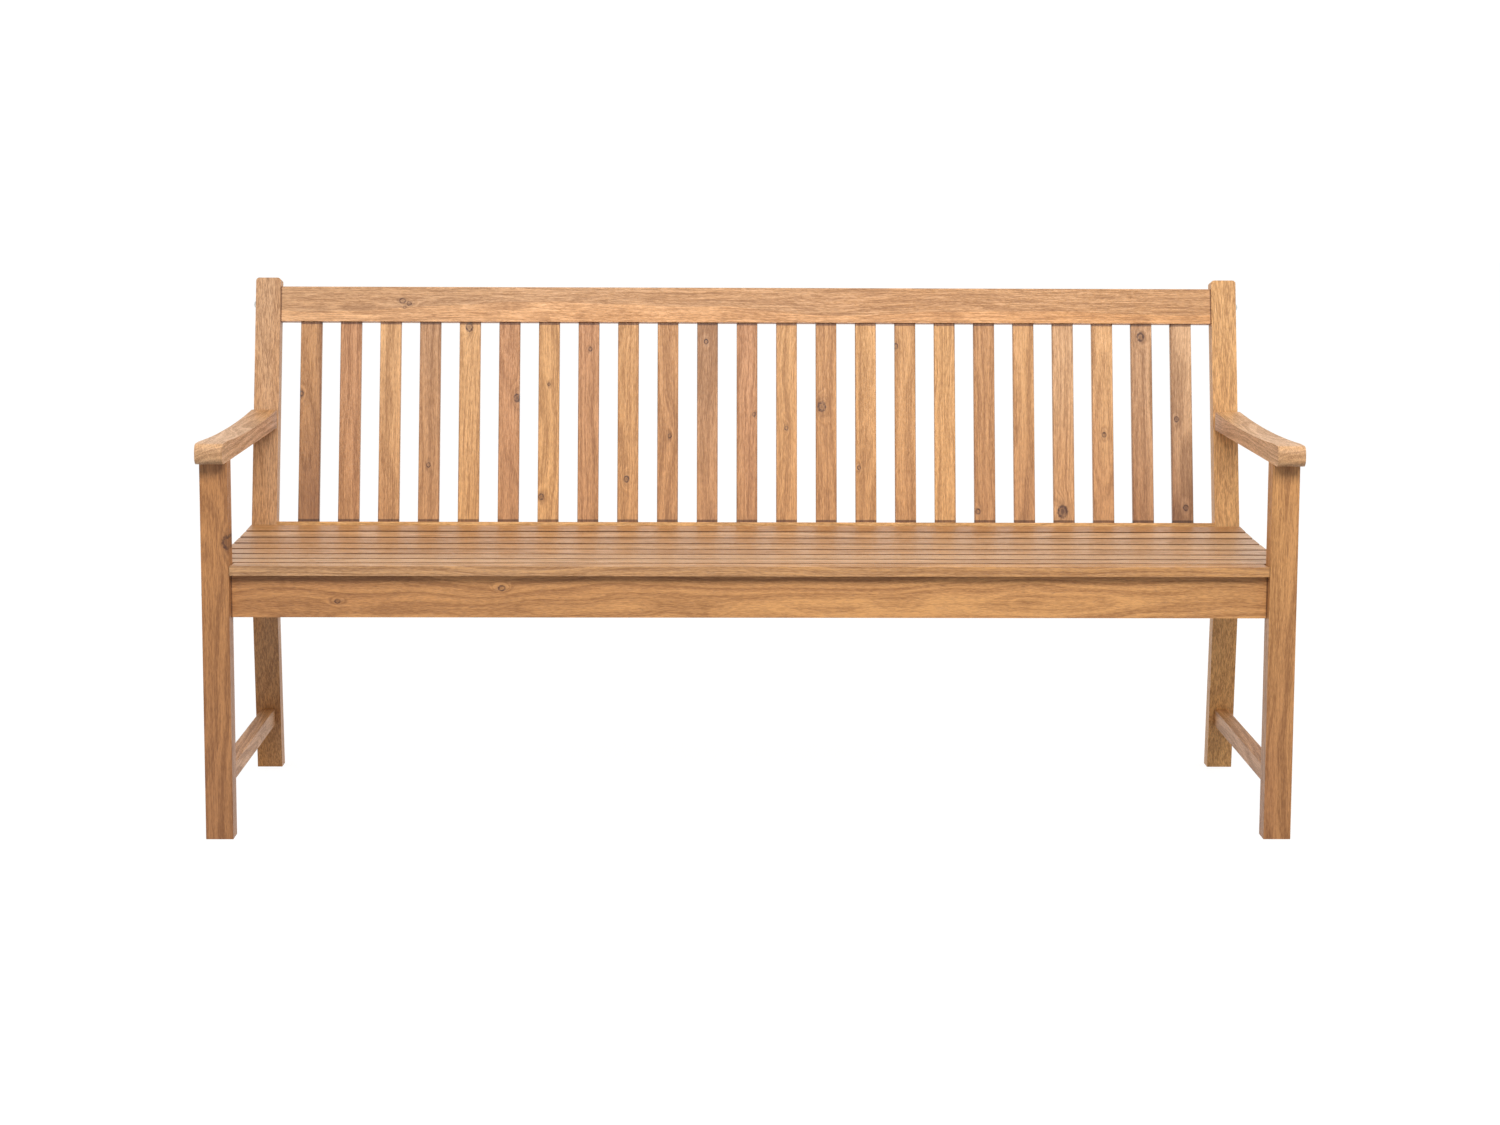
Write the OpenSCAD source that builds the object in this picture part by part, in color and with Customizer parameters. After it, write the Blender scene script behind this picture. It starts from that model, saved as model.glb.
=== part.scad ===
// Slatted three-seat garden bench in hardwood.
// Two side frames (front leg, kinked rear post, armrest, side rail, stretcher) are joined by
// a front apron and a leaning back panel of 23 slats. Eight slats make the dished seat.
// Millimetres. +X is right and +Y is back as seen from the front, +Z is up.
// The origin is on the floor, under the centre of the bench's box.

/* [Overall] */
// Width over the outer faces of the legs
bench_w = 1800; // [1500:10:2000]
// Height of the front corner of the rear posts
post_h = 898; // [860:1:960]
// Front face of the front legs to front face of the rear posts, at the lean height
seat_d = 480; // [480:1:520]
// How far the armrest's nose stands in front of the leg
arm_nose = 40; // [20:1:60]

/* [Side frames] */
// Width of every leg, post and armrest, along X
frame_w = 45; // [42:1:55]
// Depth of a front leg, along Y
leg_d = 35; // [34:1:45]
// Depth of a rear post, square to its length
post_d = 30; // [29:1:36]
// Lean of the back from upright
back_lean = 11.7; // [8:0.1:13]
// Rake of the rear feet from upright
foot_rake = 5; // [3:0.1:7]
// Radius of the bend in the rear post's front edge
bend_r = 450; // [300:10:500]
// Radius of the rounded corners at the top of the rear posts
post_top_r = 6; // [3:1:9]
// Height of the armrest's underside
arm_under = 629; // [610:1:640]
// Height of the armrest's top at its front end
arm_h = 663; // [655:1:675]
// Depth of the hollow in the armrest's top
arm_dip = 7; // [0:1:9]
// Radius of the armrest's nose
arm_nose_r = 13; // [8:1:16]
// Thickness of the side rails and lower stretchers, along X
rail_x = 25; // [20:1:28]
// Height of the lower stretchers' underside
stretcher_z = 80.5; // [60:0.5:120]
// Height of the lower stretchers' section
stretcher_h = 30; // [24:1:40]

/* [Seat] */
// Height of the seat's front edge
seat_h = 458; // [450:1:464]
// Height of the lowest line of the dished seat
seat_low = 449; // [445:1:452]
// Distance from the seat's front edge back to its lowest line
low_y = 270; // [240:5:300]
// Width of a seat slat
slat_w = 51; // [46:1:51]
// Gap between seat slats
slat_gap = 10; // [6:1:10]
// Thickness of a seat slat
slat_t = 16; // [15:1:20]
// Height of the front apron's lower edge
apron_z = 370; // [360:1:380]
// Thickness of the front apron
apron_t = 19; // [18:1:19]
// How far the apron is set back from the front of the legs
apron_set = 16; // [12:1:16]
// Distance from the centre to each middle bearer
bearer_x = 300; // [200:10:400]
// Thickness of the seat bearers and battens, along X
bearer_t = 22; // [18:1:25]
// Height of the seat bearers and battens under the lowest slat
bearer_h = 30; // [26:1:32]

/* [Back] */
// Thickness of the back's rails
back_t = 22; // [20:1:23]
// How far the rails are set back from the front of the posts
back_set = 3; // [2:1:4]
// Height of the top rail, along the lean
top_rail_h = 64; // [50:1:75]
// Height of the bottom rail, along the lean
bottom_rail_h = 60; // [54:1:62]
// How far the posts stand above the top rail
post_over = 16; // [8:1:24]
// Width of a back slat
back_slat_w = 38; // [30:1:42]
// Thickness of a back slat
back_slat_t = 14; // [12:1:16]
// Distance between the centres of neighbouring back slats
back_pitch = 72.6; // [68:0.1:72.6]

/* [Hardware] */
// Diameter of the frame bolts
bolt_d = 6; // [5:1:8]
// Diameter of a bolt's domed head
bolt_head_d = 14; // [12:1:16]
// Diameter of the barrel nuts
barrel_d = 10; // [9:1:12]
// Diameter of the wooden dowels
dowel_d = 8; // [6:1:8]
// Diameter of the seat screws
screw_d = 4; // [3.5:0.5:5]

/* [Hidden] */
$fn = 48;

SIDES = [-1, 1];
SEAT_SLATS = 8;
BACK_SLATS = 23;

function two_digits(i) = i < 10 ? str("0", i) : str(i);

fit = 0.1;          // clearance on every side of a tenon, dowel or shank
cut = 1;            // how far a cutting shape passes through a face
far = 2000;         // longer than any part of the bench
arc_steps = 10;     // straight pieces in a drawn arc
tenon_t = 12;       // thickness of the rail tenons, along X
tenon_len = 12;     // length of the tenons into a rear post
leg_tenon_len = 18; // length of the tenons into a front leg
rail_tenon_h = 34;  // height of a side rail's tenon
foot_tenon_h = 20;  // height of a stretcher's tenon
arm_tenon = [25, 18, 16];  // tenon on a leg's top
arm_end_tenon = [25, 10, 14];  // tenon on an armrest's rear end
bearer_tenon = [10, 8, 18];  // tenon at each end of a bearer

// Height at which seat_d is measured and the back's own frame has its origin
lean_z = 430;
// Width between the side frames
clear_w = bench_w - 2 * frame_w;
// Centre of a side frame
frame_x = (bench_w - frame_w) / 2;

// Length of the post's straight front from the lean height to its top
post_len = (post_h - lean_z) / cos(back_lean);
// Depth of the whole bench, from the armrest's nose to the back of the post's top
bench_d = arm_nose + seat_d + post_len * sin(back_lean) + post_d * cos(back_lean);
// Front face of the front legs
front_y = arm_nose - bench_d / 2;

// The back's rails, as heights in the leaning frame
top_rail_z = post_len - post_over - top_rail_h;
back_gap = 5.5;     // bottom rail above the rear edge of the seat
bottom_rail_top = (seat_z(seat_back()) + back_gap - lean_z) / cos(back_lean);
bottom_rail_z = bottom_rail_top - bottom_rail_h;
back_mid_y = back_set + back_t / 2;
mortise = 12;       // depth of the mortises for the back slats

// Frame bolts: each passes a side frame and ends in a barrel nut inside the rail
washer_d = 16;
washer_t = 1.2;
head_h = 4.2;
socket = [4, 2.4];  // across flats and depth of the bolt's hexagon socket
nut_in = 35;        // rail end to barrel nut
bolt_past = 6;      // bolt end past the barrel nut's axis
nut_len = 12;
nut_wall = 3;       // wood left in front of the barrel nut's hole
dowel_len = 30;
dowel_off = 20;     // dowels above and below the bolt

// Screws
screw_in = 12;      // how far a seat screw reaches into its slat
screw_head = [8, 2.5];
screw_seat = 18;    // bearer left above the counterbore of a seat screw
first_screw_y = 43; // the front slat is screwed behind its middle
batten_screw_len = 38;
batten_screw_slats = [3, 5, 7];  // a batten screw sits under the gap in front of each of these
arm_screw = [5, 62];
arm_screw_head = [9, 3];
arm_screw_z = 640;

apron_mid_y = apron_set + apron_t / 2;
apron_top = seat_z(0) - slat_t;
apron_mid_z = (apron_z + apron_top) / 2;

HONEY = "#c9935c";
AMBER = "#bf824c";
TAN = "#d1a06d";
RUSSET = "#b87a4b";
STEEL = "silver";

// ---- Outlines and places, with y measured back from the front of the legs ----

// Height of the seat's top surface
function seat_z(y) = seat_low + (seat_h - seat_low) * pow((y - low_y) / low_y, 2);

function slat_y(i) = (i - 1) * (slat_w + slat_gap);

function seat_back() = slat_y(SEAT_SLATS) + slat_w;

function slat_tilt(i) = atan((seat_z(slat_y(i) + slat_w) - seat_z(slat_y(i))) / slat_w);

// Point (y, z) on the underside of a seat slat, t of the way from its front to its back
function slat_under(i, t) = [
    slat_y(i) + slat_t * sin(slat_tilt(i)) + t * slat_w * cos(slat_tilt(i)),
    seat_z(slat_y(i)) - slat_t * cos(slat_tilt(i)) + t * slat_w * sin(slat_tilt(i))
];

// Height of a seat slat's underside at y
function under_z(i, y) = slat_under(i, 0)[1] + (y - slat_under(i, 0)[0]) * tan(slat_tilt(i));

// Undersides of the slats from the second back to y = end, as the top line of a rail
function under_line(end) = concat(
    [for (i = [2:SEAT_SLATS - 1], t = [0, 1]) slat_under(i, t)],
    [slat_under(SEAT_SLATS, 0), [end, under_z(SEAT_SLATS, end)]]
);

// Front of a rear post's upper straight part
function lean_y(z) = seat_d + (z - lean_z) * tan(back_lean);

// Where the post's two straight front lines would meet
bend_z = 392;
bend_vertex = [lean_y(bend_z), bend_z];
bend_half = (back_lean + foot_rake) / 2;
bend_aim = (foot_rake - back_lean) / 2;
bend_centre = bend_vertex + bend_r / cos(bend_half) * [cos(bend_aim), sin(bend_aim)];

// Arc of the post's bend at radius r, from angle a to angle b
function bend_arc(r, a, b) = [
    for (k = [0:arc_steps]) let (t = a + (b - a) * k / arc_steps)
        bend_centre - r * [cos(t), sin(t)]
];

foot_front = bend_vertex[0] + bend_z * tan(foot_rake);
top_front = lean_y(post_h);

post_outline = concat(
    [[foot_front, 0]],
    bend_arc(bend_r, foot_rake, -back_lean),
    [[top_front, post_h]],
    [[top_front + post_d * cos(back_lean), post_h - post_d * sin(back_lean)]],
    bend_arc(bend_r - post_d, -back_lean, foot_rake),
    [[foot_front + post_d / cos(foot_rake), 0]]
);

// Arc about (y, z), from angle a to angle b
function arc(y, z, r, a, b) = [
    for (k = [0:arc_steps]) let (t = a + (b - a) * k / arc_steps)
        [y + r * cos(t), z + r * sin(t)]
];

arm_end = seat_d + (arm_h - lean_z);  // well past the post's front
arm_mid = lean_y(arm_h) / 2;

// Dished top of the armrest
function arm_top(y) = arm_h - arm_dip * (1 - pow((y - arm_mid) / arm_mid, 2));

arm_outline = concat(
    [[arm_end, arm_under]],
    arc(arm_nose_r - arm_nose, arm_under + arm_nose_r, arm_nose_r, 270, 180),
    arc(arm_nose_r - arm_nose, arm_h - arm_nose_r, arm_nose_r, 180, 90),
    [for (k = [0:2 * arc_steps]) let (y = 2 * arm_mid * k / (2 * arc_steps)) [y, arm_top(y)]],
    [[arm_end, arm_h]]
);

// ---- Construction helpers ----

// Moves shapes drawn from the front of the legs into the bench's frame
module placed() {
    translate([0, front_y, 0]) children();
}

// The back's leaning frame: x is right, y is back square to the posts, z is up along them
module leaning() {
    translate([0, seat_d, lean_z]) rotate([-back_lean, 0, 0]) children();
}

// A (y, z) outline made w wide along X, centred on x
module side_plate(x, w, outline) {
    translate([x - w / 2, 0, 0]) rotate([90, 0, 90]) linear_extrude(w) polygon(outline);
}

// A block centred on x and z, from y to y + size[1]
module block(x, y, z, size) {
    translate([x - size[0] / 2, y, z - size[2] / 2]) cube(size);
}

// The same block with the fitting clearance, as the mortise for it
module socket_for(x, y, z, size) {
    block(x, y - fit, z, size + 2 * fit * [1, 1, 1]);
}

// A round bar along X from x to x + len
module bar_x(x, len, d) {
    translate([x, 0, 0]) rotate([0, 90, 0]) cylinder(h = len, d = d);
}

// A round bar along Y from y to y + len
module bar_y(y, len, d) {
    translate([0, y, 0]) rotate([-90, 0, 0]) cylinder(h = len, d = d);
}

// Mirrors a shape made for the right side to the side asked for
module on_side(side) {
    mirror([side < 0 ? 1 : 0, 0, 0]) children();
}

// The three bolted joints on the right side: apron, bottom rail and top rail
module at_apron_joint() {
    translate([0, apron_mid_y, apron_mid_z]) children();
}

module at_back_joints() {
    for (z = [bottom_rail_z + bottom_rail_h / 2, top_rail_z + top_rail_h / 2])
        leaning() translate([0, back_mid_y, z]) children();
}

module at_joints() {
    at_apron_joint() children();
    at_back_joints() children();
}

// Bolt hole through a side frame, and the outer halves of the dowel holes
module joint_holes() {
    bar_x(clear_w / 2 - nut_in - bolt_past - cut, far, bolt_d + 2 * fit);
    for (z = [-dowel_off, dowel_off])
        translate([0, 0, z])
            bar_x((clear_w - dowel_len) / 2 - fit, dowel_len + 2 * fit, dowel_d + 2 * fit);
}

// Barrel nut hole in a rail, drilled from the rail's rear face
module nut_hole(rail_t) {
    translate([clear_w / 2 - nut_in, 0, 0])
        bar_y(nut_wall - rail_t / 2, rail_t - nut_wall + cut, barrel_d + 2 * fit);
}

module both_sides() {
    for (side = SIDES) on_side(side) children();
}

// ---- Side frames, made for the right side ----

side_rail_mid = apron_mid_z;  // the apron's bolt passes through the rail's front tenon
stretcher_mid = stretcher_z + stretcher_h / 2;
arm_tenon_mid = (arm_under + arm_h - arm_dip) / 2;

module leg_front() {
    color(HONEY) placed() difference() {
        union() {
            translate([frame_x - frame_w / 2, 0, 0]) cube([frame_w, leg_d, arm_under]);
            block(frame_x, (leg_d - arm_tenon[1]) / 2, arm_under, arm_tenon + [0, 0, arm_tenon[2]]);
        }
        socket_for(frame_x, leg_d - leg_tenon_len, side_rail_mid, [tenon_t, far, rail_tenon_h]);
        socket_for(frame_x, leg_d - leg_tenon_len, stretcher_mid, [tenon_t, far, foot_tenon_h]);
        at_apron_joint() joint_holes();
    }
}

// The post before it is cut for its joints, w wide
module post_blank(w) {
    side_plate(frame_x, w, post_outline);
}

// Front-view shape of the post's top, in the leaning frame, with two rounded corners
module post_top_shape() {
    leaning() translate([frame_x, far / 2, post_len]) rotate([90, 0, 0]) linear_extrude(far) {
        translate([-frame_w / 2, -far]) square([frame_w, far - post_top_r]);
        translate([post_top_r - frame_w / 2, -far]) square([frame_w - 2 * post_top_r, far]);
        for (side = SIDES)
            translate([side * (frame_w / 2 - post_top_r), -post_top_r]) circle(r = post_top_r);
    }
}

module arm_screw_hole() {
    leaning() translate([frame_x, 0, (arm_screw_z - lean_z) / cos(back_lean)]) {
        bar_y(post_d - arm_screw_head[1] - arm_screw[1] - cut, far, arm_screw[0] + 2 * fit);
        bar_y(post_d - 2 * arm_screw_head[1], far, arm_screw_head[0] + cut);
    }
}

module post_rear() {
    color(AMBER) placed() difference() {
        intersection() {
            post_blank(frame_w);
            post_top_shape();
        }
        side_rail_tenon(fit);
        stretcher_tenon(fit);
        armrest_tenon(fit);
        arm_screw_hole();
        at_back_joints() joint_holes();
    }
}

// Tenons that enter the post, grown by a clearance c. Each starts inside its own rail.
module side_rail_tenon(c) {
    end_y = seat_d + tenon_len - 4;
    translate([frame_x - tenon_t / 2 - c, seat_d / 2, side_rail_mid - rail_tenon_h / 2 - c])
        cube([tenon_t + 2 * c, end_y - seat_d / 2 + c, rail_tenon_h + 2 * c]);
}

module stretcher_tenon(c) {
    end_y = foot_front - stretcher_mid * tan(foot_rake) + tenon_len;
    translate([frame_x - tenon_t / 2 - c, seat_d / 2, stretcher_mid - foot_tenon_h / 2 - c])
        cube([tenon_t + 2 * c, end_y - seat_d / 2 + c, foot_tenon_h + 2 * c]);
}

module armrest_tenon(c) {
    end_y = lean_y(arm_tenon_mid) + arm_end_tenon[1];
    translate([
        frame_x - arm_end_tenon[0] / 2 - c,
        seat_d / 2,
        arm_tenon_mid - arm_end_tenon[2] / 2 - c
    ]) cube([arm_end_tenon[0] + 2 * c, end_y - seat_d / 2 + c, arm_end_tenon[2] + 2 * c]);
}

module armrest() {
    color(TAN) placed() difference() {
        union() {
            difference() {
                side_plate(frame_x, frame_w, arm_outline);
                post_and_behind();
            }
            armrest_tenon(0);
        }
        socket_for(frame_x, (leg_d - arm_tenon[1]) / 2, arm_under, arm_tenon + [0, 0, arm_tenon[2]]);
        arm_screw_hole();
    }
}

// A tenon into the front leg. It starts inside its own rail.
module leg_tenon(z, h) {
    block(frame_x, leg_d - leg_tenon_len, z, [tenon_t, 2 * leg_tenon_len, h]);
}

// Everything from the front face of the post back, for scribing the rails to it
module post_and_behind() {
    post_blank(2 * frame_w);
    translate([frame_x - frame_w, foot_front, -cut]) cube([2 * frame_w, far, post_h]);
    leaning() translate([frame_x - frame_w, 0, 80]) cube([2 * frame_w, far, far]);
}

module side_rail() {
    end = seat_d + post_d / 2;
    color(RUSSET) placed() difference() {
        union() {
            difference() {
                side_plate(frame_x, rail_x, concat(
                    [[leg_d, apron_z], [leg_d, slat_under(2, 0)[1]]],
                    under_line(end),
                    [[end, apron_z]]
                ));
                post_and_behind();
            }
            leg_tenon(side_rail_mid, rail_tenon_h);
            side_rail_tenon(0);
        }
        batten_screws_shape(fit);
        at_apron_joint() joint_holes();
    }
}

module stretcher() {
    color(HONEY) placed() union() {
        difference() {
            translate([frame_x - rail_x / 2, leg_d, stretcher_z])
                cube([rail_x, foot_front - leg_d, stretcher_h]);
            post_and_behind();
        }
        leg_tenon(stretcher_mid, foot_tenon_h);
        stretcher_tenon(0);
    }
}

// ---- Rails between the side frames ----

module apron_front() {
    back_y = apron_set + apron_t;
    color(AMBER) placed() difference() {
        side_plate(0, clear_w, [
            [apron_set, apron_z],
            [back_y, apron_z],
            [back_y, under_z(1, back_y)],
            [apron_set, under_z(1, apron_set)]
        ]);
        both_sides() at_apron_joint() {
            joint_holes();
            nut_hole(apron_t);
        }
        both_sides() bearer_front_tenon(fit);
    }
}

module back_rail(z, height) {
    placed() difference() {
        leaning() translate([-clear_w / 2, back_set, z]) cube([clear_w, back_t, height]);
        leaning() for (i = [1:BACK_SLATS]) back_slat_shape(i, fit);
        both_sides() at_back_joints() {
            joint_holes();
            nut_hole(back_t);
        }
        both_sides() bearer_rear_tenon(fit);
    }
}

module back_top_rail() {
    color(TAN) back_rail(top_rail_z, top_rail_h);
}

module back_bottom_rail() {
    color(HONEY) back_rail(bottom_rail_z, bottom_rail_h);
}

// ---- Back slats ----

module back_slat_shape(i, c) {
    x = (i - (BACK_SLATS + 1) / 2) * back_pitch;
    low = bottom_rail_top - mortise;
    high = top_rail_z + mortise;
    translate([x - back_slat_w / 2 - c, back_mid_y - back_slat_t / 2 - c, low - c])
        cube([back_slat_w + 2 * c, back_slat_t + 2 * c, high - low + 2 * c]);
}

module back_slat(i) {
    color([HONEY, TAN, RUSSET, AMBER][i % 4]) placed() leaning() back_slat_shape(i, 0);
}

// ---- Seat ----

// The front slat fits between the legs, and the others run to the outer faces
function slat_len(i) = i == 1 ? clear_w - 2 : bench_w;

module seat_slat(i) {
    color([TAN, HONEY, AMBER][i % 3]) placed() difference() {
        translate([-slat_len(i) / 2, slat_y(i), seat_z(slat_y(i))])
            rotate([slat_tilt(i), 0, 0])
                translate([0, 0, -slat_t]) cube([slat_len(i), slat_w, slat_t]);
        seat_screw_shapes(i, fit);
    }
}

bearer_z = seat_low - slat_t - bearer_h;
tenon_z = bearer_z + bearer_h / 2;
bearer_front = apron_set + apron_t;
batten_w = 20;
batten_x = frame_x - (rail_x + batten_w) / 2;
batten_front = leg_d + 2;
batten_end = seat_d - 6;

module bearer_front_tenon(c) {
    translate([bearer_x - bearer_tenon[0] / 2 - c, bearer_front - bearer_tenon[1] - c, tenon_z])
        translate([0, 0, -bearer_tenon[2] / 2 - c])
            cube([bearer_tenon[0] + 2 * c, 2 * bearer_tenon[1] + 2 * c, bearer_tenon[2] + 2 * c]);
}

module bearer_rear_tenon(c) {
    end_y = lean_y(tenon_z) + back_set + bearer_tenon[1];
    translate([bearer_x - bearer_tenon[0] / 2 - c, seat_d - 2 * bearer_tenon[1], tenon_z])
        translate([0, 0, -bearer_tenon[2] / 2 - c])
            cube([
                bearer_tenon[0] + 2 * c,
                end_y - seat_d + 2 * bearer_tenon[1] + c,
                bearer_tenon[2] + 2 * c
            ]);
}

module seat_bearer() {
    end = seat_d + post_d / 2;
    color(RUSSET) placed() difference() {
        union() {
            difference() {
                side_plate(bearer_x, bearer_t, concat(
                    [[bearer_front, bearer_z], [bearer_front, under_z(1, bearer_front)]],
                    [slat_under(1, 1)],
                    under_line(end),
                    [[end, bearer_z]]
                ));
                leaning() translate([0, back_set, -far / 2]) cube(far);
            }
            bearer_front_tenon(0);
            bearer_rear_tenon(0);
        }
        for (i = [1:SEAT_SLATS]) seat_screw_shape(bearer_x, i, fit);
    }
}

module seat_batten() {
    color(AMBER) placed() difference() {
        side_plate(batten_x, batten_w, concat(
            [[batten_front, bearer_z], [batten_front, under_z(1, batten_front)]],
            [slat_under(1, 1)],
            under_line(batten_end),
            [[batten_end, bearer_z]]
        ));
        for (i = [1:SEAT_SLATS]) seat_screw_shape(batten_x, i, fit);
        batten_screws_shape(fit);
    }
}

// ---- Hardware ----

// Domed head with its flat underside at x = 0, pointing to +X
module dome_head(d, h) {
    dome_r = (d * d / 4 + h * h) / (2 * h);
    rotate([0, 90, 0]) intersection() {
        cylinder(h = h, d = d);
        translate([0, 0, h - dome_r]) sphere(r = dome_r, $fn = 96);
    }
}

module frame_bolts() {
    start = clear_w / 2 - nut_in - bolt_past;
    finish = bench_w / 2 + washer_t;
    color(STEEL) both_sides() placed() at_joints() difference() {
        union() {
            bar_x(start, finish - start + cut, bolt_d);
            translate([finish, 0, 0]) dome_head(bolt_head_d, head_h);
        }
        translate([finish + head_h - socket[1], 0, 0]) rotate([0, 90, 0])
            cylinder(h = far, d = socket[0] / cos(30), $fn = 6);
    }
}

module bolt_washers() {
    color(STEEL) both_sides() placed() at_joints() difference() {
        bar_x(bench_w / 2, washer_t, washer_d);
        bar_x(bench_w / 2 - cut, washer_t + 2 * cut, bolt_d + 4 * fit);
    }
}

module barrel_nuts() {
    color(STEEL) both_sides() placed() at_joints() difference() {
        translate([clear_w / 2 - nut_in, 0, 0]) bar_y(-nut_len / 2, nut_len, barrel_d);
        bar_x(clear_w / 2 - nut_in - barrel_d, 2 * barrel_d, bolt_d + fit);
    }
}

// A seat screw, driven up through a bearer at x into slat i. With a clearance c it is the
// hole for the screw, and its counterbore runs out of the bearer's underside.
module seat_screw_shape(x, i, c) {
    y = i == 1 ? first_screw_y : slat_y(i) + slat_w / 2;
    top = seat_z(y) - slat_t + screw_in;
    base = seat_z(y) - slat_t - screw_seat;
    translate([x, y, base - c]) cylinder(h = top - base + 2 * c, d = screw_d + 2 * c);
    head_drop = c > 0 ? far / 10 : screw_head[1];
    translate([x, y, base - head_drop]) cylinder(h = head_drop, d = screw_head[0] + 4 * c);
}

module seat_screw_shapes(i, c) {
    both_sides() for (x = [bearer_x, batten_x]) seat_screw_shape(x, i, c);
}

module seat_screws() {
    color(STEEL) placed() for (i = [1:SEAT_SLATS]) seat_screw_shapes(i, 0);
}

// Screws from the batten's inner face into the side rail
module batten_screws_shape(c) {
    inner = batten_x - batten_w / 2;
    past = c > 0 ? cut : 0;
    for (i = batten_screw_slats)
        translate([0, slat_y(i) - slat_gap / 2, bearer_z + bearer_h / 3]) {
            bar_x(inner, batten_screw_len + c, screw_d + 2 * c);
            bar_x(inner - past, screw_head[1] + past, screw_head[0] + 2 * c);
        }
}

module batten_screws() {
    color(STEEL) both_sides() placed() batten_screws_shape(0);
}

module armrest_screws() {
    color(STEEL) both_sides() placed() leaning()
        translate([frame_x, post_d - 2 * arm_screw_head[1], (arm_screw_z - lean_z) / cos(back_lean)]) {
            bar_y(-arm_screw[1] + arm_screw_head[1], arm_screw[1], arm_screw[0]);
            bar_y(0, arm_screw_head[1], arm_screw_head[0]);
        }
}

module rail_dowels() {
    color(TAN) both_sides() placed() at_joints() for (z = [-dowel_off, dowel_off])
        translate([0, 0, z]) bar_x((clear_w - dowel_len) / 2, dowel_len, dowel_d);
}

on_side(-1) leg_front();  // leg_front_left
on_side(1) leg_front();  // leg_front_right
on_side(-1) post_rear();  // post_rear_left
on_side(1) post_rear();  // post_rear_right
on_side(-1) armrest();  // armrest_left
on_side(1) armrest();  // armrest_right
on_side(-1) side_rail();  // side_rail_left
on_side(1) side_rail();  // side_rail_right
on_side(-1) stretcher();  // stretcher_left
on_side(1) stretcher();  // stretcher_right
apron_front();
back_top_rail();
back_bottom_rail();
for (i = [1:BACK_SLATS])
    back_slat(i);
for (i = [1:SEAT_SLATS])
    seat_slat(i);
on_side(-1) seat_bearer();  // seat_bearer_left
on_side(1) seat_bearer();  // seat_bearer_right
on_side(-1) seat_batten();  // seat_batten_left
on_side(1) seat_batten();  // seat_batten_right
frame_bolts();
bolt_washers();
barrel_nuts();
seat_screws();
batten_screws();
armrest_screws();
rail_dowels();
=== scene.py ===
"""Looks of the slatted garden bench: oiled acacia with its own tone, grain and knots on each board,
zinc-plated fittings, eased edges, and plain studio light. Every piece is a CAD node."""

from math import pi, radians

import bpy
from mathutils import Matrix, Vector


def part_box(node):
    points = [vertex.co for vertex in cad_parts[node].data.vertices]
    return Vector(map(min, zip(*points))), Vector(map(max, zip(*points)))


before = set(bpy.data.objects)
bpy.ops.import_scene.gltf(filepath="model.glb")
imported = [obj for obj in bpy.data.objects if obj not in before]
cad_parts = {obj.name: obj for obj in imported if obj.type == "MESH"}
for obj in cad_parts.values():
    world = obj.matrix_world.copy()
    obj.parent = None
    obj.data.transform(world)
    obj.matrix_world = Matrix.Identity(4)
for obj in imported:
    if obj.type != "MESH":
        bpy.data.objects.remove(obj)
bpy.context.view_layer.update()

# The camera stands where the photograph was taken from. Places are in metres, angles in degrees.
CAMERA_PLACE = (-0.068, -4.596, 1.171)
CAMERA_TURN = 0.87
CAMERA_TILT = 6.39
CAMERA_ROLL = 0.226
CAMERA_LENS = 63.85
CAMERA_SHIFT = -0.09

# Directions in the bench. The back and the posts lean by these angles in degrees, as in the CAD.
BACK_LEAN = 11.7
POST_LEAN = 7.0
X_AXIS = Vector((1, 0, 0))
Y_AXIS = Vector((0, 1, 0))
Z_AXIS = Vector((0, 0, 1))
UP_THE_BACK = Matrix.Rotation(-radians(BACK_LEAN), 3, "X") @ Z_AXIS
UP_THE_POST = Matrix.Rotation(-radians(POST_LEAN), 3, "X") @ Z_AXIS

# Tones of the wood in full light, as sRGB.
PALE = (217, 168, 115)
SAND = (212, 169, 128)
GOLD = (214, 160, 98)
YELLOW = (211, 160, 103)
HONEY = (205, 154, 99)
OCHRE = (204, 150, 94)
DUNE = (200, 156, 116)
AMBER = (196, 144, 93)
ROSE = (194, 140, 98)
GINGER = (194, 134, 72)
TAN = (187, 136, 89)
SADDLE = (186, 131, 80)
GREY = (181, 136, 98)
CHESTNUT = (166, 114, 72)
BROWN = (166, 116, 73)
PAINTED_SHADOW_BROWN = (144, 98, 61)
UMBER = (96, 62, 40)
KNOT = (82, 47, 28)

# What growth, oil, dust and wear do to a board's tone, and the painted light and shade on its
# sides, eased edges and joints, as factors on its linear colour.
EARLY_WOOD = (1.17, 1.16, 1.10, 1)
LATE_WOOD = (0.60, 0.52, 0.42, 1)
# Oil and dust in the seat's gaps and at the joint lines, with painted shade there.
SOAKED_AND_SHADED = (0.34, 0.27, 0.20, 1)
# Oiled end grain, and on the back slats' eased edges oil with painted shade.
OILED_AND_SHADED = (0.62, 0.54, 0.46, 1)
# Paler sapwood, and on the seat slats' eased edges wear with a painted highlight.
PALE_WEAR_AND_HIGHLIGHT = (1.30, 1.27, 1.20, 1)
# Painted light: the back slats' sides are made paler, as if lit from beside and behind.
PAINTED_SIDE_LIGHT = (1.16, 1.15, 1.06, 1)
# Painted shade on the front side of the front seat slat, which gets less light than its top.
PAINTED_FRONT_SHADE = (0.84, 0.81, 0.74, 1)
PLAIN = (1, 1, 1, 1)

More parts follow.
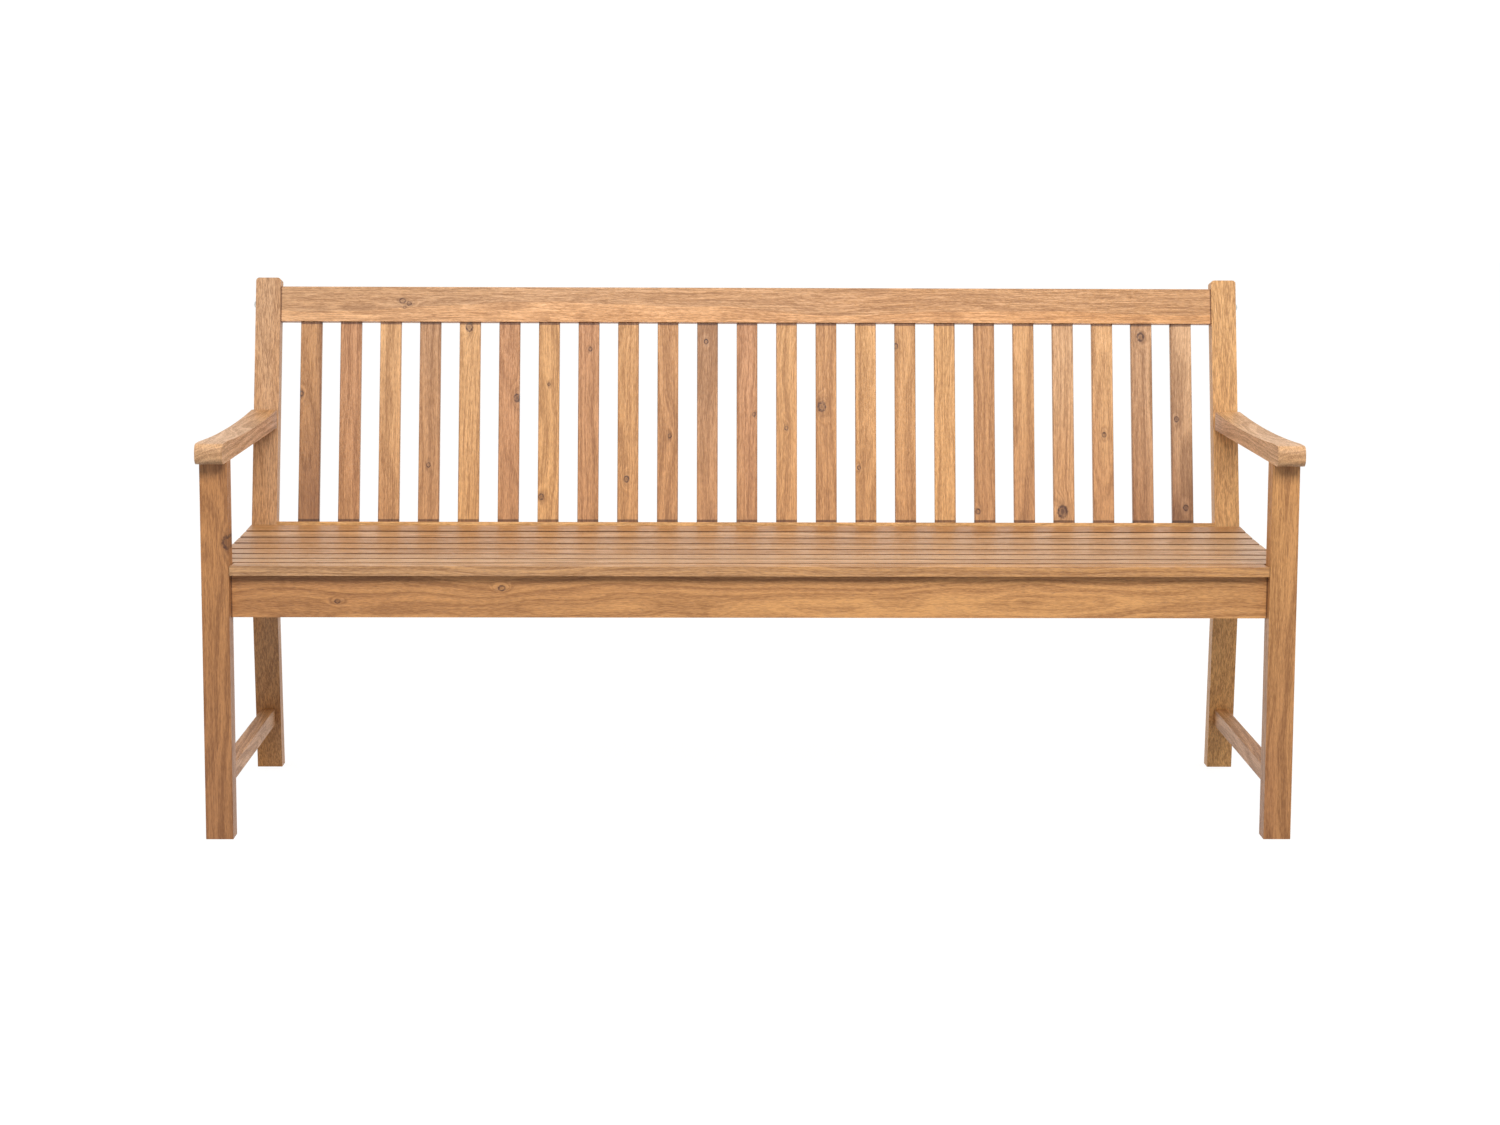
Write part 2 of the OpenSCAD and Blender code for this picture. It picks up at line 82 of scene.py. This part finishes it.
# Marks in the wood per metre: along the grain, across it and through the board.
WANDER = (2.4, 8, 8)
CLOUD = (3, 22, 22)
STREAK = (5, 170, 170)
FIBRE = (16, 520, 520)
FLECK = (90, 800, 800)
PORE = (110, 1500, 1500)
KNOT_OUTLINE = (260, 260, 260)
KNOT_BREAKS = (150, 150, 150)
RINGS_PER_METRE = 170.0

# How far the grain's wandering moves each kind of mark across the board, in metres.
RING_SWAY = 0.045
GRAIN_SWAY = 0.02
KNOT_SWAY = 0.004
SAPWOOD_SWAY = 0.06

# Shares of the marks in a board's figure. The rings and the fibres divide theirs.
STREAK_SHARE = 0.15
RING_AND_FIBRE_SHARE = 0.60
FLECK_SHARE = 0.25

# Steps in metres from one board to the next, so that no two are alike: of its place in the log
# (along, across, deep), and of where the log's heart runs.
LOG_STEP = (1.37, 0.411, 0.237)
PITH_STEP = 0.02

# Roughness of late and early growth, and widths in metres of a dark joint line of dust and painted
# shade, and of the band in which sapwood turns to heartwood.
LATE_ROUGHNESS = 0.54
EARLY_ROUGHNESS = 0.40
JOINT_LINE = 0.003
SAPWOOD_BAND = 0.003

# Widths of the eased edges, in metres.
ARM_EASE = 0.0025
FRAME_EASE = 0.002
RAIL_EASE = 0.0015
BACK_SLAT_EASE = 0.0012
SEAT_SLAT_EASE = 0.0008

# The studio: half the floor's width in metres, and how bright the floor and the sky are.
FLOOR_REACH = 20
FLOOR_GLOW = 0.92
FLOOR_TONE = (0.14, 0.14, 0.14, 1)
SKY_SEEN = 1.05
WHITE = (1, 1, 1, 1)


def linear(tone):
    """An sRGB tone as the linear colour that a shader takes."""
    parts = [c / 255 for c in tone]
    return tuple(c / 12.92 if c < 0.04045 else ((c + 0.055) / 1.055) ** 2.4 for c in parts) + (1.0,)


def empty_tree(owner):
    """The node tree of a new material or world, with nothing in it."""
    owner.use_nodes = True
    owner.node_tree.nodes.clear()
    return owner.node_tree


def feed(tree, socket, value):
    """Gives the input socket its value: a number or colour, or a socket to link from."""
    if isinstance(value, bpy.types.NodeSocket):
        tree.links.new(value, socket)
    else:
        socket.default_value = value


def add(tree, kind, inputs=None, **settings):
    """A new node with its settings, and with its inputs fed by name or number."""
    node = tree.nodes.new("ShaderNode" + kind)
    for key, value in settings.items():
        setattr(node, key, value)
    for key, value in (inputs or {}).items():
        feed(tree, node.inputs[key], value)
    return node


def calc(tree, operation, a, b=0.0):
    return add(tree, "Math", {0: a, 1: b}, operation=operation).outputs[0]


def plus(tree, a, b):
    return calc(tree, "ADD", a, b)


def times(tree, a, b):
    return calc(tree, "MULTIPLY", a, b)


def vector(tree, operation, a, b=(0, 0, 0)):
    node = add(tree, "VectorMath", {0: a, 1: b}, operation=operation)
    return node.outputs["Value" if operation in ("LENGTH", "DOT_PRODUCT") else "Vector"]


def moved(tree, place, by):
    return vector(tree, "ADD", place, by)


def scaled(tree, place, factors):
    return vector(tree, "MULTIPLY", place, factors)


def along_axis(tree, place, axis):
    return add(tree, "SeparateXYZ", {0: place}).outputs[axis]


def remap(tree, value, low, high, to_low=0.0, to_high=1.0, smooth=True):
    """value from low..high to to_low..to_high, held at both ends."""
    inputs = {"Value": value, "From Min": low, "From Max": high, "To Min": to_low, "To Max": to_high}
    kind = "SMOOTHSTEP" if smooth else "LINEAR"
    return add(tree, "MapRange", inputs, interpolation_type=kind).outputs[0]


def noise(tree, place, marks, detail=3.0, roughness=0.5):
    """Noise of place, with so many marks per metre along each axis."""
    inputs = {
        "Vector": scaled(tree, place, marks),
        "Scale": 1.0,
        "Detail": detail,
        "Roughness": roughness,
    }
    return add(tree, "TexNoise", inputs).outputs["Fac"]


def mix(tree, factor, a, b, blend="MIX"):
    node = add(tree, "Mix", data_type="RGBA", blend_type=blend)
    for number, value in ((0, factor), (6, a), (7, b)):
        feed(tree, node.inputs[number], value)
    return node.outputs[2]


def toned(tree, factor, colour, tone):
    """colour, multiplied by tone as far as factor says."""
    return mix(tree, factor, colour, mix(tree, 1.0, colour, tone, "MULTIPLY"))


def new_material(name):
    """A material and its tree, with a Principled shader wired to the output."""
    material = bpy.data.materials.new(name)
    tree = empty_tree(material)
    shader = add(tree, "BsdfPrincipled")
    add(tree, "OutputMaterial", {"Surface": shader.outputs[0]})
    return material, tree, shader


def coat(tree, shader, colour, rough, height, strength, depth):
    """Gives the shader its colour and roughness, and a bump of the given depth in metres."""
    bump = add(tree, "Bump", {"Height": height, "Strength": strength, "Distance": depth})
    feed(tree, shader.inputs["Base Color"], colour)
    feed(tree, shader.inputs["Roughness"], rough)
    feed(tree, shader.inputs["Normal"], bump.outputs[0])


def board_place(tree, centre, along, across):
    """Object coordinates turned so that x runs along the grain, y across the face, z through it."""
    turn = Matrix((along, across, along.cross(across)))
    inputs = {
        "Vector": add(tree, "TexCoord").outputs["Object"],
        "Location": -(turn @ centre),
        "Rotation": turn.to_euler(),
    }
    return add(tree, "Mapping", inputs, vector_type="POINT").outputs[0]


def slow_wander(tree, log):
    """How the grain wanders along the board, about zero on each axis."""
    inputs = {"Vector": scaled(tree, log, WANDER), "Scale": 1.0, "Detail": 2.0}
    return vector(tree, "SUBTRACT", add(tree, "TexNoise", inputs).outputs["Color"], (0.5, 0.5, 0.5))


def knot_marks(tree, place, sway, knots):
    """Darkness of the knots, and how far each pushes the growth rings aside.

    A knot is (along, across, radius, heart): metres from the board's middle, and how dark its
    heart is. Round the heart it has a broken dark rim and a faint, wider halo.
    """
    marks, push = 0.0, 0.0
    if not knots:
        return marks, push
    swayed = moved(tree, place, scaled(tree, sway, (0, KNOT_SWAY, 0)))
    ragged = times(tree, noise(tree, place, KNOT_OUTLINE, 2), 0.6)
    broken = remap(tree, noise(tree, place, KNOT_BREAKS, 2), 0.35, 0.6, 0.6, 1.0)
    for along, across, radius, heart in knots:
        offset = vector(tree, "SUBTRACT", swayed, (along, across, 0))
        shape = scaled(tree, offset, (0.8 / radius, 1 / radius, 0))
        away = plus(tree, vector(tree, "LENGTH", shape), calc(tree, "SUBTRACT", ragged, 0.3))
        wide = vector(tree, "LENGTH", scaled(tree, shape, (0.38, 0.62, 0)))
        inside = remap(tree, away, 1.0, 1.4, broken, 0)
        rim = times(tree, remap(tree, away, 0.45, 0.75), inside)
        core = remap(tree, away, 0.2, 1.2, heart, 0)
        halo = remap(tree, plus(tree, wide, times(tree, ragged, 0.5)), 0.4, 1.4, 0.30, 0)
        for part in (rim, core, halo):
            marks = calc(tree, "MAXIMUM", part, marks)
        push = plus(tree, remap(tree, wide, 0, 1.9, 2.4 * radius, 0), push)
    return marks, push


def growth_rings(tree, place, sway, pith, push):
    """Late to early growth as 0 to 1, in rings round a heart that runs along the board."""
    bent = moved(tree, place, scaled(tree, sway, (0, RING_SWAY, RING_SWAY)))
    bent = moved(tree, bent, (0, pith[0], pith[1]))
    radius = vector(tree, "LENGTH", scaled(tree, bent, (0.03, 1, 1)))
    rings = times(tree, plus(tree, radius, push), RINGS_PER_METRE)
    inputs = {"W": rings, "Scale": 1.0, "Detail": 3.0}
    growth = add(tree, "TexNoise", inputs, noise_dimensions="1D").outputs["Fac"]
    return remap(tree, growth, 0.34, 0.66)


def grain_figure(tree, log, sway, rings, bold):
    """The board's figure, late to early growth as 0 to 1, and its open pores."""
    grain = moved(tree, log, scaled(tree, sway, (0, GRAIN_SWAY, GRAIN_SWAY)))
    streak = remap(tree, noise(tree, grain, STREAK, 3), 0.36, 0.64)
    fibre = remap(tree, noise(tree, grain, FIBRE, 4, 0.65), 0.36, 0.64)
    fleck = remap(tree, noise(tree, grain, FLECK, 2), 0.40, 0.60)
    pores = remap(tree, noise(tree, grain, PORE, 1), 0.60, 0.72)
    shares = (
        (rings, bold),
        (streak, STREAK_SHARE),
        (fibre, RING_AND_FIBRE_SHARE - bold),
        (fleck, FLECK_SHARE),
    )
    figure = 0.0
    for part, share in shares:
        figure = plus(tree, times(tree, part, share), figure)
    return remap(tree, figure, 0.19, 0.81, smooth=False), pores


def drifting_tone(tree, place, log, half, tones):
    """The board's plain colour. It drifts along the board, and a little from edge to edge."""
    end = remap(tree, along_axis(tree, place, "X"), -half, half, 1, 0)
    cloud = remap(tree, noise(tree, log, CLOUD, 2), 0.3, 0.7)
    drift = plus(tree, times(tree, end, 0.65), times(tree, cloud, 0.35))
    return mix(tree, drift, linear(tones[0]), linear(tones[1]))


def with_grain(tree, body, figure, pores):
    """The body colour, with its early and late growth and its dark pores."""
    early = mix(tree, 1.0, body, EARLY_WOOD, "MULTIPLY")
    late = mix(tree, 1.0, body, LATE_WOOD, "MULTIPLY")
    colour = mix(tree, figure, late, early)
    return mix(tree, times(tree, pores, 0.40), colour, linear(UMBER))


def with_sapwood(tree, colour, place, sway, start):
    """colour, made paler on the part of the board that is below start."""
    swayed = moved(tree, place, scaled(tree, sway, (0, SAPWOOD_SWAY, 0)))
    factor = remap(tree, along_axis(tree, swayed, "Y"), start - SAPWOOD_BAND, start, 0.8, 0)
    return toned(tree, factor, colour, PALE_WEAR_AND_HIGHLIGHT)


def with_oil_wear_and_painted_light(tree, colour, along, across, side, arris):
    """colour, with the darker oiled end grain, and the tones of the sides and their eased edges,
    which hold painted light and shade as well as oil and wear.
    """
    normal = add(tree, "TexCoord").outputs["Normal"]
    end = calc(tree, "ABSOLUTE", vector(tree, "DOT_PRODUCT", normal, tuple(along)))
    edge = calc(tree, "ABSOLUTE", vector(tree, "DOT_PRODUCT", normal, tuple(across)))
    colour = toned(tree, remap(tree, end, 0.8, 0.98, 0, 0.3), colour, OILED_AND_SHADED)
    # The sides and eased edges take painted light and shade, with oil and wear.
    colour = toned(tree, remap(tree, edge, 0.85, 0.97), colour, side)
    past_face = remap(tree, edge, 0.1, 0.4)
    before_side = remap(tree, edge, 0.80, 0.96, 1, 0)
    return toned(tree, times(tree, past_face, before_side), colour, arris)


def with_shaded_joint_lines(tree, colour, place, shows):
    """colour, with a thin dark line of dust and painted shade at each end of the length that shows.
    """
    off = calc(tree, "ABSOLUTE", along_axis(tree, place, "X"))
    factor = remap(tree, off, shows - JOINT_LINE, shows - JOINT_LINE / 2)
    return toned(tree, factor, colour, SOAKED_AND_SHADED)


def acacia(
    node,
    along,
    across,
    tones,
    number,
    knots=(),
    pith=(0.03, 0.09),
    bold=0.3,
    gloss=0.0,
    side=PLAIN,
    arris=PLAIN,
    shows=None,
    sapwood=None,
):
    """Oiled acacia for one board.

    tones are the board's colours towards its far end (right, rear or top) and its near end, and
    number picks another part of the log for each board. pith is where the log's heart runs,
    (across, deep) in metres from the board's middle, and bold is the growth rings' share of the
    figure. gloss makes the board smoother. side and arris tone the sides and their eased edges,
    with painted light and shade as well as oil and wear, and shows is half the length that is seen
    between the board's joints, if they show as dark lines of dust and painted shade. Below sapwood,
    a place across the board, the wood is paler.
    """
    material, tree, shader = new_material(node)
    lo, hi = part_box(node)
    half = (hi - lo).dot(Vector([abs(c) for c in along])) / 2
    place = board_place(tree, (lo + hi) / 2, along, across)
    log = moved(tree, place, tuple(number * step for step in LOG_STEP))
    sway = slow_wander(tree, log)

    marks, push = knot_marks(tree, place, sway, knots)
    rings = growth_rings(tree, place, sway, pith, push)
    figure, pores = grain_figure(tree, log, sway, rings, bold)

    body = drifting_tone(tree, place, log, half, tones)
    colour = with_grain(tree, body, figure, pores)
    if sapwood is not None:
        colour = with_sapwood(tree, colour, place, sway, sapwood)
    if knots:
        colour = mix(tree, marks, colour, linear(KNOT))
    colour = with_oil_wear_and_painted_light(tree, colour, along, across, side, arris)
    if shows:
        colour = with_shaded_joint_lines(tree, colour, place, shows)

    height = calc(tree, "SUBTRACT", figure, times(tree, pores, 0.8))
    late, early = LATE_ROUGHNESS - gloss, EARLY_ROUGHNESS - gloss
    rough = remap(tree, figure, 0.1, 0.9, late, early, smooth=False)
    coat(tree, shader, colour, rough, height, strength=0.4, depth=0.0007)
    return material


def zinc():
    """Bright zinc plate, a little cloudy."""
    material, tree, shader = new_material("zinc_plate")
    place = add(tree, "TexCoord").outputs["Object"]
    cloud = noise(tree, place, (240, 240, 240), 3)
    colour = mix(tree, cloud, (0.50, 0.50, 0.48, 1), (0.72, 0.72, 0.70, 1))
    rough = remap(tree, cloud, 0.3, 0.7, 0.42, 0.28)
    pits = noise(tree, place, (900, 900, 900), 2)
    coat(tree, shader, colour, rough, pits, strength=0.15, depth=0.0002)
    shader.inputs["Metallic"].default_value = 1.0
    return material


def paint(node, material):
    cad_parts[node].material_slots[0].material = material


def ease_edges(node, width):
    """Rounds the sharp edges that a router or sander eases, without touching the CAD mesh."""
    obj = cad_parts[node]
    obj.data.shade_smooth()
    weld = obj.modifiers.new("weld", "WELD")
    weld.merge_threshold = 0.00001
    flat = obj.modifiers.new("flat", "DECIMATE")
    flat.decimate_type = "DISSOLVE"
    flat.angle_limit = radians(0.5)
    bevel = obj.modifiers.new("ease", "BEVEL")
    bevel.width = width
    bevel.segments = 3
    bevel.limit_method = "ANGLE"
    bevel.angle_limit = radians(35)
    obj.modifiers.new("shade", "WEIGHTED_NORMAL")


def board(node, along, across, tones, number, ease, **look):
    """Dresses one wooden node. look is passed on to acacia()."""
    paint(node, acacia(node, along, across, tones, number, **look))
    ease_edges(node, ease)


def pith_of(number, turn, depth, depths):
    """A place for the log's heart that changes from board to board."""
    return PITH_STEP * ((number * turn) % 5 - 2), depth + PITH_STEP * (number % depths)


# Tones of the back slats from left to right, at the top and the bottom of each. The first and
# the last slat are darker at the bottom with a painted shadow of the armrests.
BACK_TONES = (
    (AMBER, PAINTED_SHADOW_BROWN), (ROSE, TAN), (PALE, TAN), (GREY, AMBER), (PALE, HONEY), (ROSE, TAN),
    (HONEY, YELLOW), (ROSE, TAN), (HONEY, AMBER), (AMBER, TAN), (GREY, TAN), (ROSE, TAN),
    (HONEY, AMBER), (AMBER, AMBER), (YELLOW, AMBER), (HONEY, AMBER), (YELLOW, YELLOW), (AMBER, TAN),
    (HONEY, TAN), (SAND, AMBER), (PALE, TAN), (DUNE, BROWN), (SAND, PAINTED_SHADOW_BROWN),
)
# Knots of each back slat: how far down the open part of the slat, how far right of its middle
# as a share of the half width, the radius in metres, and how dark the heart is.
BACK_KNOTS = {
    1: ((0.36, -0.8, 0.0036, 0.1),),
    4: ((0.72, -0.05, 0.0034, 0.0),),
    5: ((0.02, -0.1, 0.006, 0.6),),
    6: ((0.38, 0.75, 0.0055, 0.8),),
    7: ((0.31, 0.0, 0.0025, 0.6), (0.88, -0.65, 0.0045, 0.5)),
    8: ((0.13, 0.15, 0.0032, 0.0),),
    9: ((0.79, -0.1, 0.0045, 0.6),),
    10: ((0.57, 0.2, 0.0032, 0.0),),
    11: ((0.09, -0.15, 0.0036, 0.0),),
    12: ((0.46, 0.65, 0.003, 0.1),),
    13: ((0.53, 0.0, 0.003, 0.15),),
    14: ((0.42, -0.4, 0.007, 0.55),),
    15: ((0.73, -0.65, 0.003, 0.0),),
    16: ((0.11, -0.9, 0.004, 0.5),),
    18: ((0.95, -0.7, 0.004, 0.2),),
    20: ((0.95, -0.2, 0.0085, 0.9),),
    21: ((0.56, 0.1, 0.0036, 0.1),),
    22: ((0.06, -0.1, 0.006, 0.1),),
    23: ((0.48, -0.5, 0.004, 0.6), (0.93, 0.3, 0.0045, 0.6)),
}
# Half a back slat's width, its open length between the rails, and half the rails' open length.
BACK_SLAT_HALF = 0.019
BACK_OPEN = 0.362
RAIL_HALF = 0.855
TOP_RAIL_KNOTS = (
    (-0.632, 0.006, 0.0045, 0.3),
    (-0.620, 0.001, 0.0035, 0.6),
    (-0.628, -0.006, 0.0025, 0.3),
)


def dress_back():
    """The slats' faces are darker than their sides, which carry painted light, and the edges between
    are dark with oil and painted shade.
    """
    for number, tones in enumerate(BACK_TONES, 1):
        knots = [
            ((0.5 - down) * BACK_OPEN, right * BACK_SLAT_HALF, radius, heart)
            for down, right, radius, heart in BACK_KNOTS.get(number, ())
        ]
        pith = pith_of(number, turn=7, depth=0.03, depths=4)
        look = {"knots": knots, "pith": pith, "side": PAINTED_SIDE_LIGHT, "arris": OILED_AND_SHADED, "shows": BACK_OPEN / 2}
        board(f"back_slat_{number:02d}", UP_THE_BACK, X_AXIS, tones, number, BACK_SLAT_EASE, **look)
    look = {"knots": TOP_RAIL_KNOTS, "bold": 0.22, "shows": RAIL_HALF, "sapwood": -0.006}
    board("back_top_rail", X_AXIS, UP_THE_BACK, (AMBER, DUNE), 31, RAIL_EASE, **look)
    board("back_bottom_rail", X_AXIS, UP_THE_BACK, (GOLD, GOLD), 32, RAIL_EASE)


# Tones of the seat slats from front to back, at the right and the left of each.
SEAT_TONES = (
    (OCHRE, DUNE), (DUNE, SAND), (SAND, DUNE), (DUNE, TAN),
    (SAND, AMBER), (DUNE, TAN), (SAND, AMBER), (TAN, AMBER),
)


def dress_seat():
    """The front slat shows its whole front side, darker with painted shade. The others are dark in
    the gaps between them with oil and painted shade, and all their eased edges are paler with wear
    and a painted highlight.
    """
    for number, tones in enumerate(SEAT_TONES, 1):
        pith = pith_of(number, turn=3, depth=0.05, depths=3)
        ease, side = (FRAME_EASE, PAINTED_FRONT_SHADE) if number == 1 else (SEAT_SLAT_EASE, SOAKED_AND_SHADED)
        look = {"pith": pith, "gloss": 0.08, "side": side, "arris": PALE_WEAR_AND_HIGHLIGHT}
        board(f"seat_slat_{number}", X_AXIS, Y_AXIS, tones, 40 + number, ease, **look)


# Tones of the frames' outer members, at the top or rear and at the bottom or front of each, and of
# the members that hardly show.
FRAME_TONES = {
    "leg_front_left": (SADDLE, CHESTNUT),
    "leg_front_right": (OCHRE, CHESTNUT),
    "post_rear_left": (DUNE, GINGER),
    "post_rear_right": (YELLOW, GOLD),
    "armrest_left": (AMBER, SAND),
    "armrest_right": (HONEY, SAND),
}
INNER_TONES = (AMBER, SADDLE)
LEFT_LEG_KNOTS = ((0.174, 0.021, 0.008, 0.5),)
APRON_KNOTS = ((-0.68, -0.008, 0.0035, 0.2), (-0.41, 0.014, 0.0042, 0.1))


def dress_frames():
    for number, side in ((50, "left"), (60, "right")):
        leg, post, arm = (f"{part}_{side}" for part in ("leg_front", "post_rear", "armrest"))
        knots = LEFT_LEG_KNOTS if side == "left" else ()
        board(leg, Z_AXIS, X_AXIS, FRAME_TONES[leg], number, FRAME_EASE, knots=knots)
        board(post, UP_THE_POST, X_AXIS, FRAME_TONES[post], number + 1, FRAME_EASE, bold=0.12)
        board(arm, Y_AXIS, -X_AXIS, FRAME_TONES[arm], number + 2, ARM_EASE)
        for i, part in enumerate(("side_rail", "stretcher", "seat_bearer", "seat_batten"), 3):
            board(f"{part}_{side}", Y_AXIS, Z_AXIS, INNER_TONES, number + i, RAIL_EASE)
    look = {"knots": APRON_KNOTS, "pith": (0.01, 0.045), "bold": 0.5, "shows": RAIL_HALF}
    board("apron_front", X_AXIS, Z_AXIS, (OCHRE, SADDLE), 70, FRAME_EASE, **look)


FITTINGS = (
    "frame_bolts",
    "bolt_washers",
    "barrel_nuts",
    "seat_screws",
    "batten_screws",
    "armrest_screws",
)


def dress_fittings():
    plate = zinc()
    for node in FITTINGS:
        paint(node, plate)
    paint("rail_dowels", acacia("rail_dowels", X_AXIS, Y_AXIS, (PALE, PALE), 80))


def add_object(name, data, place=(0, 0, 0)):
    obj = bpy.data.objects.new(name, data)
    obj.location = place
    bpy.context.scene.collection.objects.link(obj)
    return obj


def floor_white():
    """White that glows a little from above. It is clear from below, to show the underside."""
    material = bpy.data.materials.new("floor_white")
    tree = empty_tree(material)
    glow = add(tree, "Emission", {"Color": WHITE, "Strength": FLOOR_GLOW})
    matt = add(tree, "BsdfDiffuse", {"Color": FLOOR_TONE})
    above = add(tree, "AddShader", {0: glow.outputs[0], 1: matt.outputs[0]})
    below = add(tree, "BsdfTransparent")
    from_below = add(tree, "NewGeometry").outputs["Backfacing"]
    both = add(tree, "MixShader", {0: from_below, 1: above.outputs[0], 2: below.outputs[0]})
    add(tree, "OutputMaterial", {"Surface": both.outputs[0]})
    return material


def pale_floor():
    """A wide floor that casts no shadow and gives the bench no diffuse light."""
    signs = ((-1, -1), (1, -1), (1, 1), (-1, 1))
    corners = [(x * FLOOR_REACH, y * FLOOR_REACH, 0) for x, y in signs]
    mesh = bpy.data.meshes.new("floor")
    mesh.from_pydata(corners, [], [(0, 1, 2, 3)])
    mesh.materials.append(floor_white())
    floor = add_object("floor", mesh)
    floor.visible_diffuse = False
    floor.visible_shadow = False


def soft_sky():
    """White to the camera. Its light is weakest from below, and stronger from behind and beside."""
    world = bpy.data.worlds.new("studio")
    bpy.context.scene.world = world
    tree = empty_tree(world)
    way = add(tree, "TexCoord").outputs["Generated"]
    above = remap(tree, along_axis(tree, way, "Z"), -0.30, 0.25, 0.20, 0.46)
    behind = remap(tree, along_axis(tree, way, "Y"), 0.0, 0.8, 0, 0.5)
    sideways = calc(tree, "ABSOLUTE", along_axis(tree, way, "X"))
    beside = remap(tree, sideways, 0.5, 0.95, 0, 0.5)
    strength = plus(tree, plus(tree, above, behind), beside)
    light = add(tree, "Background", {"Color": WHITE, "Strength": strength})
    white = add(tree, "Background", {"Color": WHITE, "Strength": SKY_SEEN})
    seen = add(tree, "LightPath").outputs["Is Camera Ray"]
    both = add(tree, "MixShader", {0: seen, 1: light.outputs[0], 2: white.outputs[0]})
    add(tree, "OutputWorld", {"Surface": both.outputs[0]})


def soft_box(name, place, target, size, power):
    """An area light, aimed at target. Its size is (width, height) in metres, its power in watts."""
    data = bpy.data.lights.new(name, "AREA")
    data.shape = "RECTANGLE"
    data.size, data.size_y = size
    data.energy = power
    light = add_object(name, data, place)
    light.rotation_euler = (Vector(target) - Vector(place)).to_track_quat("-Z", "Y").to_euler()


def studio():
    pale_floor()
    soft_sky()
    soft_box("key", place=(0.3, -3.0, 2.7), target=(0, 0, 0.6), size=(3.0, 1.2), power=128)
    soft_box("top", place=(0, 0.2, 2.4), target=(0, 0, 0.5), size=(2.6, 0.9), power=6)
    bpy.context.scene.view_settings.view_transform = "Standard"


def camera():
    data = bpy.data.cameras.new("camera")
    data.lens = CAMERA_LENS
    data.sensor_width = 36
    data.shift_y = CAMERA_SHIFT
    data.clip_end = 100
    obj = add_object("camera", data)
    turn = Matrix.Rotation(-radians(CAMERA_TURN), 4, "Z")
    tilt = Matrix.Rotation(pi / 2 - radians(CAMERA_TILT), 4, "X")
    roll = Matrix.Rotation(radians(CAMERA_ROLL), 4, "Z")
    obj.matrix_world = Matrix.Translation(CAMERA_PLACE) @ turn @ tilt @ roll
    bpy.context.scene.camera = obj


dress_back()
dress_seat()
dress_frames()
dress_fittings()
studio()
camera()
